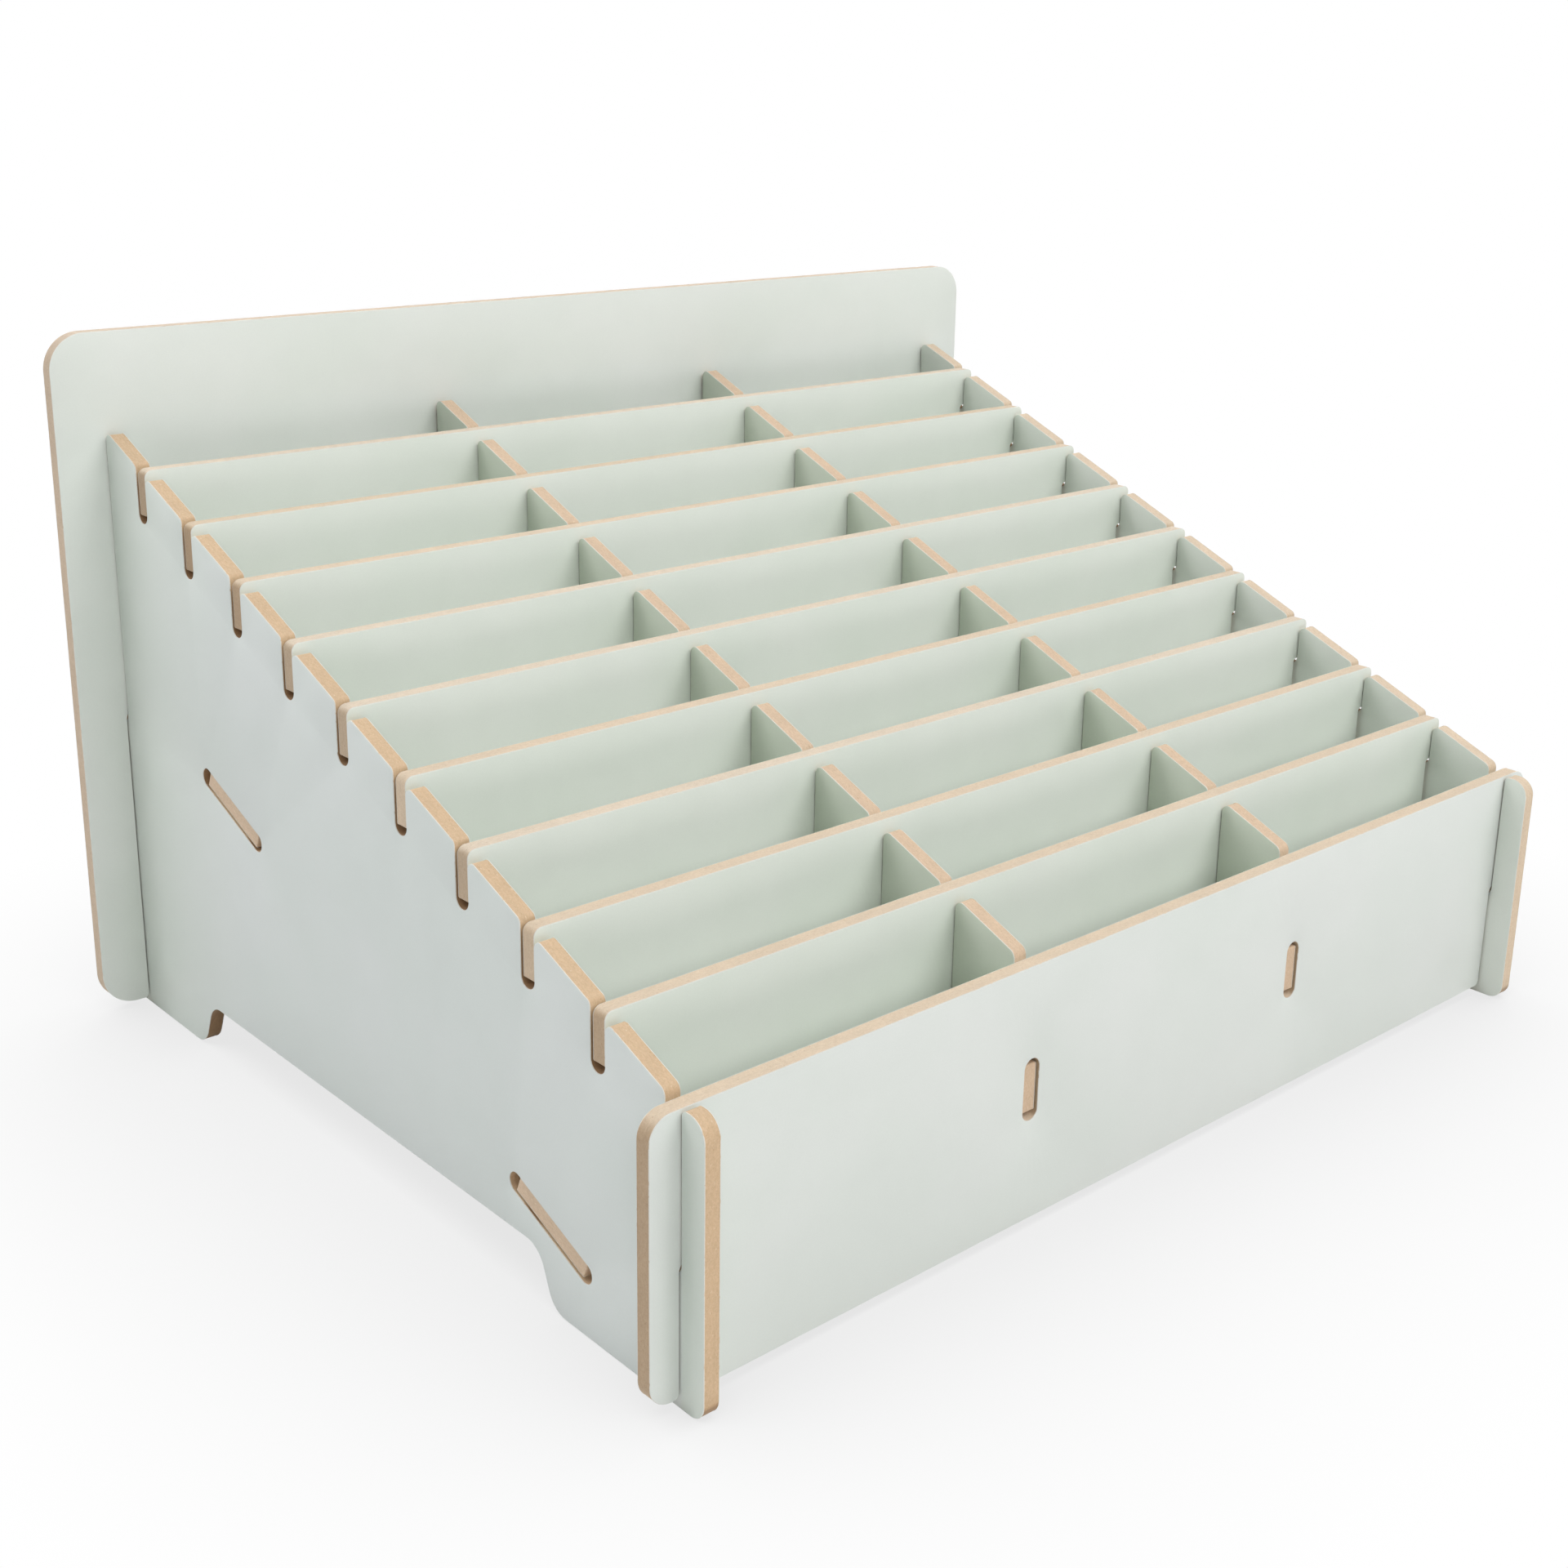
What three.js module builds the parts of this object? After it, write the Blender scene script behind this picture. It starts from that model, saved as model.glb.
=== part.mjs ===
// Paint rack organizer: a flat-pack rack of slotted 3 mm boards, with 3 columns by 10 rows
// of open compartments on a slope that rises to the back.
// Millimetres: +X right, +Y back, +Z up, origin on the ground under the middle of the rack.
// Boards are laid out in rack coordinates: X from the left side panel's outer face,
// Y from the front panel's front face, Z from the ground.
// Each board is one closed plate: an outline with rounded corners, extruded by its thickness.
import * as THREE from "three";

// ---- shared dimensions ----------------------------------------------------------------
const BOARD = 3.0; // board thickness
const WIDTH = 220; // over the outer faces of the side panels
const BACK_Y = 174.5; // front face of the back panel
const REAR_Y = BACK_Y + BOARD; // rear face of the back panel
const COLUMNS = 3;
const ROWS = 10;

const SLOPE = 0.4; // rise per millimetre of depth, of the sloped tops and of the floor
const TILT = Math.atan(SLOPE);
const TOP_AT_FRONT = 48.7; // height of the sloped top line at Y = 0
const FLOOR_AT_FRONT = 1.7; // height of the floor board's mid plane at Y = 0

const SLOT = 3.6; // width of mortises, notches and slots, except the side panels' halving slots
const ROUND_END = 0.001; // an end radius is this much under half the width, to leave a short flat
const SLOT_R = SLOT / 2 - ROUND_END;
const MOUTH_R = 1.0; // rounding of slot mouths
const ROOT_R = 0.4; // inner corners of tabs and tenons
const TIP_R = 0.3; // outer corners of tabs and tenons

const PITCH = 17.63; // distance between cross dividers
const FIRST_NOTCH = 17.6; // front edge of the frontmost notch
const NOTCH_DEPTH = 10.0; // below the sloped top, in the middle of the notch
const CREST_R = 1.4; // top edge at the front of a notch and at the rear end
const TOE_R = 1.1; // top edge at the rear of a notch
const FRONT_TOE_R = 1.7; // top edge at its front end

// Halving joints: the side panels are slotted from above, the crossing panels from below.
const FRONT_HALVING = { sideBottom: 22.1, panelTop: 24.5 };
const BACK_HALVING = { sideBottom: 60.4, panelTop: 62.8 };
const FRONT_TOP = 48.8; // top of the front panel and of the side panels' front wings

// Mortises in the front and back panels, and the tenons of the long dividers.
const MORTISE_HEIGHT = 11.4;
const TENON_HEIGHT = 8.8;
const MORTISE_Z = 26.3; // middle of the front mortises
const BACK_MORTISE_Z = MORTISE_Z + SLOPE * (BACK_Y - BOARD);

// Mortises in the side panels, and the tabs of the floor board.
const TAB_Y = [32.5, 132.0];
const TAB_MORTISE = 23.2;
const TAB_LENGTH = 19.3;

const COLUMN = (WIDTH - (COLUMNS + 1) * BOARD) / COLUMNS; // clear width of a column
const LONG_X = [1, 2].map((i) => i * (COLUMN + BOARD)); // left faces of the long dividers

const topAt = (y) => TOP_AT_FRONT + SLOPE * y;
const floorMid = (y) => FLOOR_AT_FRONT + SLOPE * y;
const floorTop = (y) => floorMid(y) + BOARD / 2 / Math.cos(TILT);

// Notches and cross dividers are numbered k = 1 at the rear to ROWS - 1 at the front.
const notchY = (k) => FIRST_NOTCH + PITCH * (ROWS - 1 - k);
const earNotchBottom = (k) => topAt(notchY(k) + SLOT / 2) - NOTCH_DEPTH;

// ---- outlines -------------------------------------------------------------------------
const CHORD_ERROR = 0.03; // furthest a chord may lie from its arc

// A closed outline from corners [u, v, radius], each rounded by an arc drawn in chords.
function rounded(corners) {
  const points = [];
  const count = corners.length;
  corners.forEach(([u, v, radius], i) => {
    const corner = new THREE.Vector2(u, v);
    const directionTo = ([otherU, otherV]) =>
      new THREE.Vector2(otherU, otherV).sub(corner).normalize();
    const toPrevious = directionTo(corners[(i + count - 1) % count]);
    const toNext = directionTo(corners[(i + 1) % count]);
    const halfAngle = Math.acos(toPrevious.dot(toNext)) / 2;
    const reach = radius / Math.tan(halfAngle); // from the corner to where the arc touches
    const bisector = toPrevious.clone().add(toNext).normalize();
    const middle = corner.clone().addScaledVector(bisector, radius / Math.sin(halfAngle));
    const touchAngle = (direction) => {
      const touch = corner.clone().addScaledVector(direction, reach).sub(middle);
      return Math.atan2(touch.y, touch.x);
    };

    const start = touchAngle(toPrevious);
    let sweep = touchAngle(toNext) - start;
    if (sweep > Math.PI) sweep -= 2 * Math.PI;
    if (sweep < -Math.PI) sweep += 2 * Math.PI;
    const chordAngle = 2 * Math.acos(1 - CHORD_ERROR / radius);
    const steps = Math.max(2, Math.ceil(Math.abs(sweep) / chordAngle));
    for (let step = 0; step <= steps; step++) {
      const angle = start + (sweep * step) / steps;
      points.push(
        new THREE.Vector2(
          middle.x + radius * Math.cos(angle),
          middle.y + radius * Math.sin(angle),
        ),
      );
    }
  });
  return points;
}

// A mortise with half-round ends, centred on (u, v), its length turned by angle.
function mortise(u, v, length, angle) {
  const halfLength = length / 2;
  const halfWidth = SLOT / 2;
  const cos = Math.cos(angle);
  const sin = Math.sin(angle);
  const corners = [
    [-halfLength, -halfWidth],
    [halfLength, -halfWidth],
    [halfLength, halfWidth],
    [-halfLength, halfWidth],
  ];
  return rounded(
    corners.map(([x, y]) => [u + x * cos - y * sin, v + x * sin + y * cos, SLOT_R]),
  );
}

// Corners of a slot open at the bottom edge, from left to right.
function slotFromBelow(left, bottom, top) {
  const right = left + SLOT;
  return [
    [left, bottom, MOUTH_R],
    [left, top, SLOT_R],
    [right, top, SLOT_R],
    [right, bottom, MOUTH_R],
  ];
}

// Corners of the notched slope from yFront to yRear, lying drop under the sloped top line.
function notchedSlope({ yFront, yRear, notchBottom, drop = 0 }) {
  const edge = (y) => topAt(y) - drop;
  const corners = [[yFront, edge(yFront), FRONT_TOE_R]];
  for (let k = ROWS - 1; k >= 1; k--) {
    const start = notchY(k);
    const end = start + SLOT;
    const bottom = notchBottom(k);
    corners.push(
      [start, edge(start), CREST_R],
      [start, bottom, SLOT_R],
      [end, bottom, SLOT_R],
      [end, edge(end), TOE_R],
    );
  }
  corners.push([yRear, edge(yRear), CREST_R]);
  return corners;
}

function plate(corners, holes = []) {
  const shape = new THREE.Shape(rounded(corners));
  shape.holes = holes.map((hole) => new THREE.Path(hole));
  return new THREE.ExtrudeGeometry(shape, { depth: BOARD, bevelEnabled: false });
}

// ---- placing boards -------------------------------------------------------------------
const rack = new THREE.Group();
rack.position.set(-WIDTH / 2, -REAR_Y / 2, 0); // puts the origin under the middle

function board(name, geometry) {
  const material = new THREE.MeshStandardMaterial({
    color: 0xd2dbd3, // pale grey-green
    roughness: 0.45,
    metalness: 0,
  });
  const mesh = new THREE.Mesh(geometry, material);
  mesh.name = name;
  return mesh;
}

// Outline drawn in (Y, Z), thickness along +X from x.
function standAlong(name, geometry, x) {
  const mesh = board(name, geometry);
  const axes = new THREE.Matrix4().makeBasis(
    new THREE.Vector3(0, 1, 0),
    new THREE.Vector3(0, 0, 1),
    new THREE.Vector3(1, 0, 0),
  );
  mesh.quaternion.setFromRotationMatrix(axes);
  mesh.position.set(x, 0, 0);
  rack.add(mesh);
}

// Outline drawn in (X, Z), thickness along +Y from y.
function standAcross(name, geometry, y) {
  const mesh = board(name, geometry);
  mesh.rotation.x = Math.PI / 2;
  mesh.position.set(0, y + BOARD, 0);
  rack.add(mesh);
}

// ---- side panels ----------------------------------------------------------------------
const HALVING_SLOT = 3.8; // width of the slots for the front and back panels
const HALVING_R = HALVING_SLOT / 2 - ROUND_END;
const HALVING_SHIFT = 0.2; // these slots start this far ahead of the crossing panel
const SIDE_WING = 5.33; // reach past the front and back panels
const WING_TOP_R = 3.5;
const WING_FOOT_R = 3.0;
const ARCH_HEIGHT = 9.8;
const ARCH_R = 4.8;
const ARCH_FRONT = { groundY: 31.8, topY: 35.7 }; // slanted ends of the arch between the feet
const ARCH_REAR = { topY: 145.9, groundY: 150.0 };

function sidePanel() {
  const frontSlotStart = -HALVING_SHIFT;
  const frontSlotEnd = frontSlotStart + HALVING_SLOT;
  const backSlotStart = BACK_Y - HALVING_SHIFT;
  const backSlotEnd = backSlotStart + HALVING_SLOT;
  const rearWingTop = topAt(BACK_Y);
  const slope = notchedSlope({
    yFront: frontSlotEnd,
    yRear: backSlotStart,
    notchBottom: earNotchBottom,
  });
  const corners = [
    [-SIDE_WING, 0, WING_FOOT_R],
    [ARCH_FRONT.groundY, 0, ARCH_R],
    [ARCH_FRONT.topY, ARCH_HEIGHT, ARCH_R],
    [ARCH_REAR.topY, ARCH_HEIGHT, ARCH_R],
    [ARCH_REAR.groundY, 0, ARCH_R],
    [REAR_Y + SIDE_WING, 0, WING_FOOT_R],
    [REAR_Y + SIDE_WING, rearWingTop, WING_TOP_R],
    [backSlotEnd, rearWingTop, MOUTH_R],
    [backSlotEnd, BACK_HALVING.sideBottom, HALVING_R],
    [backSlotStart, BACK_HALVING.sideBottom, HALVING_R],
    ...slope.reverse(),
    [frontSlotEnd, FRONT_HALVING.sideBottom, HALVING_R],
    [frontSlotStart, FRONT_HALVING.sideBottom, HALVING_R],
    [frontSlotStart, FRONT_TOP, MOUTH_R],
    [-SIDE_WING, FRONT_TOP, WING_TOP_R],
  ];
  return plate(corners, TAB_Y.map((y) => mortise(y, floorMid(y), TAB_MORTISE, TILT)));
}

standAlong("left_side_panel", sidePanel(), 0);
standAlong("right_side_panel", sidePanel(), WIDTH - BOARD);

// ---- front and back panels ------------------------------------------------------------
const OUTER_GAP = 0.2; // their slots reach this far outside the side panels' outer faces

// wing is the reach past the side panels, corner the radius of the four outer corners.
const FRONT_PANEL = {
  bottom: 1.8,
  top: FRONT_TOP,
  wing: 5.55,
  corner: 4.0,
  slotTop: FRONT_HALVING.panelTop,
  mortiseZ: MORTISE_Z,
};
const BACK_PANEL = {
  bottom: 1.2,
  top: 137,
  wing: 9.5,
  corner: 7.0,
  slotTop: BACK_HALVING.panelTop,
  mortiseZ: BACK_MORTISE_Z,
};

function crossingPanel({ bottom, top, wing, corner, slotTop, mortiseZ }) {
  const corners = [
    [-wing, bottom, corner],
    ...slotFromBelow(-OUTER_GAP, bottom, slotTop),
    ...slotFromBelow(WIDTH + OUTER_GAP - SLOT, bottom, slotTop),
    [WIDTH + wing, bottom, corner],
    [WIDTH + wing, top, corner],
    [-wing, top, corner],
  ];
  const mortises = LONG_X.map((x) =>
    mortise(x + BOARD / 2, mortiseZ, MORTISE_HEIGHT, Math.PI / 2),
  );
  return plate(corners, mortises);
}

standAcross("front_panel", crossingPanel(FRONT_PANEL), 0);
standAcross("back_panel", crossingPanel(BACK_PANEL), BACK_Y);

// ---- floor board ----------------------------------------------------------------------
const FLOOR_GAP = 0.3; // to the panels around it, and from tab ends to the outer faces
const FLOOR_CORNER_R = 1;

// Outline drawn in (X, distance up the slope).
function floorBoard() {
  const along = (y) => y / Math.cos(TILT);
  const lean = (BOARD / 2) * Math.sin(TILT); // how far the tilted end faces lean in Y
  const start = along(BOARD + FLOOR_GAP + lean);
  const end = along(BACK_Y - FLOOR_GAP - lean);
  const edgeX = BOARD + FLOOR_GAP;
  const tabX = FLOOR_GAP;

  const leftEdge = [[edgeX, end, FLOOR_CORNER_R]];
  for (const y of [...TAB_Y].reverse()) {
    const tabStart = along(y) - TAB_LENGTH / 2;
    const tabEnd = along(y) + TAB_LENGTH / 2;
    leftEdge.push(
      [edgeX, tabEnd, ROOT_R],
      [tabX, tabEnd, TIP_R],
      [tabX, tabStart, TIP_R],
      [edgeX, tabStart, ROOT_R],
    );
  }
  leftEdge.push([edgeX, start, FLOOR_CORNER_R]);
  const rightEdge = leftEdge.map(([x, distance, radius]) => [WIDTH - x, distance, radius]);
  return plate([...leftEdge, ...rightEdge.reverse()]);
}

// The board lies centred on its mid plane, which tilts about its line at Y = 0.
const floorMesh = board("floor_board", floorBoard());
floorMesh.position.z = -BOARD / 2;
const tiltedFloor = new THREE.Group();
tiltedFloor.rotation.x = TILT;
tiltedFloor.position.z = FLOOR_AT_FRONT;
tiltedFloor.add(floorMesh);
rack.add(tiltedFloor);

// ---- dividers -------------------------------------------------------------------------
const DIVIDER_IN_NOTCH = 0.15; // gap between a cross divider and its notch's front edge
const EAR_DROP = 1.4; // gap under an ear, to the lowest point of its notch
const EAR_HEIGHT = 8.85;
const CROSS_FLOOR_GAP = 0.4; // floor to cross divider, at the divider's rear face
const LAP_OVERRUN = 1.15; // each crossing slot runs this far past the middle of the lap
const DIVIDER_FOOT_R = 1.2; // bottom corners

const earBottom = (k) => earNotchBottom(k) + EAR_DROP;
const crossTop = (k) => earBottom(k) + EAR_HEIGHT;
const crossBottom = (k) => floorTop(notchY(k) + DIVIDER_IN_NOTCH + BOARD) + CROSS_FLOOR_GAP;
const lapMiddle = (k) => (crossTop(k) + crossBottom(k)) / 2;

// Long dividers run front to back, slotted from above for the cross dividers.
const LONG_DROP = 0.4; // their tops lie this far under the side panels' slope
const LONG_FRONT_GAP = 0.9; // to the front panel
const LONG_REAR_GAP = 0.5; // to the back panel
const LONG_FLOOR_GAP = 0.35;
const TENON_RECESS = 0.5; // from tenon ends to the outer faces of the panels

// Corners of a tenon from its lower root to its upper root.
function tenon(rootY, tipY, middleZ) {
  const bottom = middleZ - TENON_HEIGHT / 2;
  const top = middleZ + TENON_HEIGHT / 2;
  return [
    [rootY, bottom, ROOT_R],
    [tipY, bottom, TIP_R],
    [tipY, top, TIP_R],
    [rootY, top, ROOT_R],
  ];
}

function longDivider() {
  const front = BOARD + LONG_FRONT_GAP;
  const rear = BACK_Y - LONG_REAR_GAP;
  const slope = notchedSlope({
    yFront: front,
    yRear: rear,
    notchBottom: (k) => lapMiddle(k) - LAP_OVERRUN,
    drop: LONG_DROP,
  });
  return plate([
    [front, floorTop(front) + LONG_FLOOR_GAP, DIVIDER_FOOT_R],
    [rear, floorTop(rear) + LONG_FLOOR_GAP, DIVIDER_FOOT_R],
    ...tenon(rear, REAR_Y - TENON_RECESS, BACK_MORTISE_Z),
    ...slope.reverse(),
    ...tenon(front, TENON_RECESS, MORTISE_Z).reverse(),
  ]);
}

standAlong("long_divider_left", longDivider(), LONG_X[0]);
standAlong("long_divider_right", longDivider(), LONG_X[1]);

// Cross dividers run left to right, hang in the side panels' notches by an ear at each end,
// and are slotted from below for the long dividers.
const END_GAP = 0.85; // under the ears, to the side panels' inner faces
const END_RECESS = 0.2; // ears stop this far inside the side panels' outer faces
const EAR_ROOT_R = 0.8;
const EAR_BOTTOM_R = 0.4;
const EAR_TOP_R = 1.5;

function crossDivider(k) {
  const top = crossTop(k);
  const bottom = crossBottom(k);
  const ear = earBottom(k);
  const endX = BOARD + END_GAP;
  const slots = LONG_X.flatMap((x) =>
    slotFromBelow(x + BOARD / 2 - SLOT / 2, bottom, lapMiddle(k) + LAP_OVERRUN),
  );
  return plate([
    [endX, bottom, DIVIDER_FOOT_R],
    ...slots,
    [WIDTH - endX, bottom, DIVIDER_FOOT_R],
    [WIDTH - endX, ear, EAR_ROOT_R],
    [WIDTH - END_RECESS, ear, EAR_BOTTOM_R],
    [WIDTH - END_RECESS, top, EAR_TOP_R],
    [END_RECESS, top, EAR_TOP_R],
    [END_RECESS, ear, EAR_BOTTOM_R],
    [endX, ear, EAR_ROOT_R],
  ]);
}

for (let k = 1; k < ROWS; k++) {
  standAcross(`cross_divider_${k}`, crossDivider(k), notchY(k) + DIVIDER_IN_NOTCH);
}

const organizer = new THREE.Group();
organizer.add(rack);
export default organizer;
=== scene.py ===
import math
import random

import bpy
import numpy as np
from mathutils import Matrix, Vector, geometry


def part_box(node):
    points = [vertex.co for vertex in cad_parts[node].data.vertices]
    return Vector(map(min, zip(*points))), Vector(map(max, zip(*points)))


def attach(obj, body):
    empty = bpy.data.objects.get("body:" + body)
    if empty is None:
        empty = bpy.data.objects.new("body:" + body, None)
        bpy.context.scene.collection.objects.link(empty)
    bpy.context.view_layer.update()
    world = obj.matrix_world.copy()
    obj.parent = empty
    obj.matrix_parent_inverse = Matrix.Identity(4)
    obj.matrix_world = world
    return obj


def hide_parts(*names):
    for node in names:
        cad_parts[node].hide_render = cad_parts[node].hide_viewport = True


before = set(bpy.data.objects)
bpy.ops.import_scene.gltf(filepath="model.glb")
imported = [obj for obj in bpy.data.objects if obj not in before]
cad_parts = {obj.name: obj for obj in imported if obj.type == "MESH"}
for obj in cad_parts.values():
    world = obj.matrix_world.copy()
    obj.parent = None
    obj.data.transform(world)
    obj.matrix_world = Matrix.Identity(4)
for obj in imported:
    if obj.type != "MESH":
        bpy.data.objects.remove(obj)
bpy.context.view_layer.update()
MM = 0.001

# ---- dimensions, millimetres: X from the left side's outer face, Y from the front panel's front
# face, Z from the table. Names in _R are corner radii -------------------------------------------
BOARD, WIDTH = 3.0, 220.0
BACK_Y = 174.5  # front face of the back panel
SLOT = 3.6  # width of the notches, slots and mortises
ROUND_END = 0.001  # what a round end's radius lacks of half its slot
SLOT_R = SLOT / 2 - ROUND_END
CREST_R, TOE_R, FRONT_TOE_R, MOUTH_R = 1.4, 1.1, 1.7, 1.0
TAB_ROOT_R, TAB_TIP_R = 0.4, 0.3

# the sloping top edge, and the middle of the floor board's thickness, at y = 0
SLOPE, TOP_AT_FRONT, FLOOR_AT_FRONT = 0.4, 48.7, 1.7
TILT = math.atan(SLOPE)

# notches, and the cross dividers that hang in them by ears
PITCH, FIRST_NOTCH, ROWS, COLUMNS = 17.63, 17.6, 10, 3
NOTCH_DEPTH, DIVIDER_IN_NOTCH, DIVIDER_CLEAR = 10.0, 0.15, 0.4
EAR_DROP, EAR_HEIGHT, END_RECESS, END_GAP = 1.4, 8.85, 0.2, 0.85
EAR_ROOT_R, EAR_FOOT_R, EAR_TOP_R = 0.8, 0.4, 1.5
LAP_GAP = 1.15  # from the middle of a lap to the end of either board's slot
DIVIDER_FOOT_R = 1.2

# front and back panels
FRONT_TOP, FRONT_BOTTOM, FRONT_WING, FRONT_CORNER = 48.8, 1.8, 5.55, 4.0
BACK_TOP, BACK_BOTTOM, BACK_WING, BACK_CORNER = 137.0, 1.2, 9.5, 7.0
MORTISE_HEIGHT, MORTISE_Z = 11.4, 26.3
BACK_MORTISE_Z = MORTISE_Z + SLOPE * (BACK_Y - BOARD)
OUTER_GAP = 0.2  # how far the slots reach past the side panels' outer faces

# side panels; the arch is the cut-out in the bottom edge, its ends given as (y at foot, y at top)
SIDE_WING, WING_TOP_R, WING_FOOT_R = 5.33, 3.5, 3.0
ARCH_HEIGHT, ARCH_R = 9.8, 4.8
ARCH_FRONT, ARCH_REAR = (31.8, 35.7), (150.0, 145.9)
HALVING_SLOT, HALVING_SHIFT = 3.8, 0.2
# where the slots of a halving joint end: (in the side panels, in the front or back panel)
FRONT_HALVING, BACK_HALVING = (22.1, 24.5), (60.4, 62.8)

# floor board
FLOOR_CLEAR, FLOOR_CORNER_R = 0.3, 1
TAB_LENGTH, TAB_MORTISE, TAB_Y = 19.3, 23.2, (32.5, 132.0)

# long dividers
TENON_HEIGHT, TENON_RECESS = 8.8, 0.5
LONG_FRONT_GAP, LONG_REAR_GAP, LONG_CLEAR, LONG_DROP = 0.9, 0.5, 0.35, 0.4
COLUMN = (WIDTH - (COLUMNS + 1) * BOARD) / COLUMNS
LONG_X = [i * (COLUMN + BOARD) for i in range(1, COLUMNS)]

# moves the rack's middle to the origin
OFFSET = Vector((-WIDTH / 2, -(BACK_Y + BOARD) / 2, 0))


def rise(y):
    """Height of the sloping top edge."""
    return TOP_AT_FRONT + SLOPE * y


def floor_mid(y):
    return FLOOR_AT_FRONT + SLOPE * y


def floor_top(y):
    return floor_mid(y) + BOARD / 2 / math.cos(TILT)


def notch_y(row):
    """Front face of a notch; row 1 is at the back."""
    return FIRST_NOTCH + PITCH * (ROWS - 1 - row)


def notch_bottom(row):
    return rise(notch_y(row) + SLOT / 2) - NOTCH_DEPTH


def cross_top(row):
    return notch_bottom(row) + EAR_DROP + EAR_HEIGHT


def cross_bottom(row):
    return floor_top(notch_y(row) + DIVIDER_IN_NOTCH + BOARD) + DIVIDER_CLEAR


def lap_middle(row):
    return (cross_top(row) + cross_bottom(row)) / 2


# ---- outlines ----------------------------------------------------------------------------------
CHORD = 0.004  # how far an arc's chord may lie inside the arc
STEP = 2.4  # longest stretch of a straight edge between two points of the outline
SHORTEST = 0.01  # shorter stretches are merged


def corner_arc(before, corner, after):
    """The points that round one corner (u, v[, radius])."""
    at = corner[:2]
    radius = corner[2] if len(corner) > 2 else 0
    back = np.array(before[:2], float) - at
    ahead = np.array(after[:2], float) - at
    back, ahead = back / np.linalg.norm(back), ahead / np.linalg.norm(ahead)
    half = math.acos(max(-1, min(1, back @ ahead))) / 2
    if not radius or half > math.pi / 2 - 1e-3:
        return [at]
    reach = radius / math.tan(half)
    inward = (back + ahead) / np.linalg.norm(back + ahead)
    middle = inward * (radius / math.sin(half)) + at
    first, last = back * reach + at - middle, ahead * reach + at - middle
    start = math.atan2(first[1], first[0])
    sweep = math.atan2(last[1], last[0]) - start
    sweep = (sweep + math.pi) % (2 * math.pi) - math.pi
    steps = max(3, math.ceil(abs(sweep) / (2 * math.acos(1 - CHORD / radius))))
    angles = [start + sweep * i / steps for i in range(steps + 1)]
    return [(middle[0] + radius * math.cos(w), middle[1] + radius * math.sin(w)) for w in angles]


def rounded(corners):
    """A closed outline through corners (u, v[, radius]), each rounded by an arc."""
    points = []
    for i, corner in enumerate(corners):
        points += corner_arc(corners[i - 1], corner, corners[(i + 1) % len(corners)])
    outline = []
    for i, start in enumerate(points):
        end = points[(i + 1) % len(points)]
        length = math.dist(start, end)
        if length < SHORTEST:
            continue
        parts = max(1, math.ceil(length / STEP))
        outline += [
            tuple(a + (b - a) * j / parts for a, b in zip(start, end)) for j in range(parts)
        ]
    return outline


def mortise(u, v, length, angle):
    """A slot with round ends about (u, v)."""
    radius, half = SLOT / 2, length / 2
    cos, sin = math.cos(angle), math.sin(angle)
    corners = ((-half, -radius), (half, -radius), (half, radius), (-half, radius))
    return rounded([(u + x * cos - y * sin, v + x * sin + y * cos, SLOT_R) for x, y in corners])


def slot(left, right, mouth, end):
    """Corners of a slot that opens downwards."""
    return [(left, mouth, MOUTH_R), (left, end, SLOT_R), (right, end, SLOT_R), (right, mouth, MOUTH_R)]


def tab(edge, tip, start, end):
    """Corners of a tab that stands out from u = edge to u = tip."""
    return [(edge, start, TAB_ROOT_R), (tip, start, TAB_TIP_R),
            (tip, end, TAB_TIP_R), (edge, end, TAB_ROOT_R)]  # fmt: skip


def notched_top(y_front, y_rear, low_at, drop=0):
    """Corners of the sloping top edge with its notches, front to rear."""
    corners = [(y_front, rise(y_front) - drop, FRONT_TOE_R)]
    for row in range(ROWS - 1, 0, -1):
        front, low = notch_y(row), low_at(row)
        rear = front + SLOT
        corners += [(front, rise(front) - drop, CREST_R), (front, low, SLOT_R)]
        corners += [(rear, low, SLOT_R), (rear, rise(rear) - drop, TOE_R)]
    return corners + [(y_rear, rise(y_rear) - drop, CREST_R)]


# Each outline function returns (outer outline, holes).


def side_outline():
    front_slot = -HALVING_SHIFT, HALVING_SLOT - HALVING_SHIFT
    back_slot = [BACK_Y + y for y in front_slot]
    slot_r = HALVING_SLOT / 2 - ROUND_END
    rear = BACK_Y + BOARD + SIDE_WING
    top = rise(BACK_Y)
    outer = rounded(
        [
            (-SIDE_WING, 0, WING_FOOT_R),
            (ARCH_FRONT[0], 0, ARCH_R),
            (ARCH_FRONT[1], ARCH_HEIGHT, ARCH_R),
            (ARCH_REAR[1], ARCH_HEIGHT, ARCH_R),
            (ARCH_REAR[0], 0, ARCH_R),
            (rear, 0, WING_FOOT_R),
            (rear, top, WING_TOP_R),
            (back_slot[1], top, MOUTH_R),
            (back_slot[1], BACK_HALVING[0], slot_r),
            (back_slot[0], BACK_HALVING[0], slot_r),
            *reversed(notched_top(front_slot[1], back_slot[0], notch_bottom)),
            (front_slot[1], FRONT_HALVING[0], slot_r),
            (front_slot[0], FRONT_HALVING[0], slot_r),
            (front_slot[0], FRONT_TOP, MOUTH_R),
            (-SIDE_WING, FRONT_TOP, WING_TOP_R),
        ]
    )
    return outer, [mortise(y, floor_mid(y), TAB_MORTISE, TILT) for y in TAB_Y]


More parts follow.
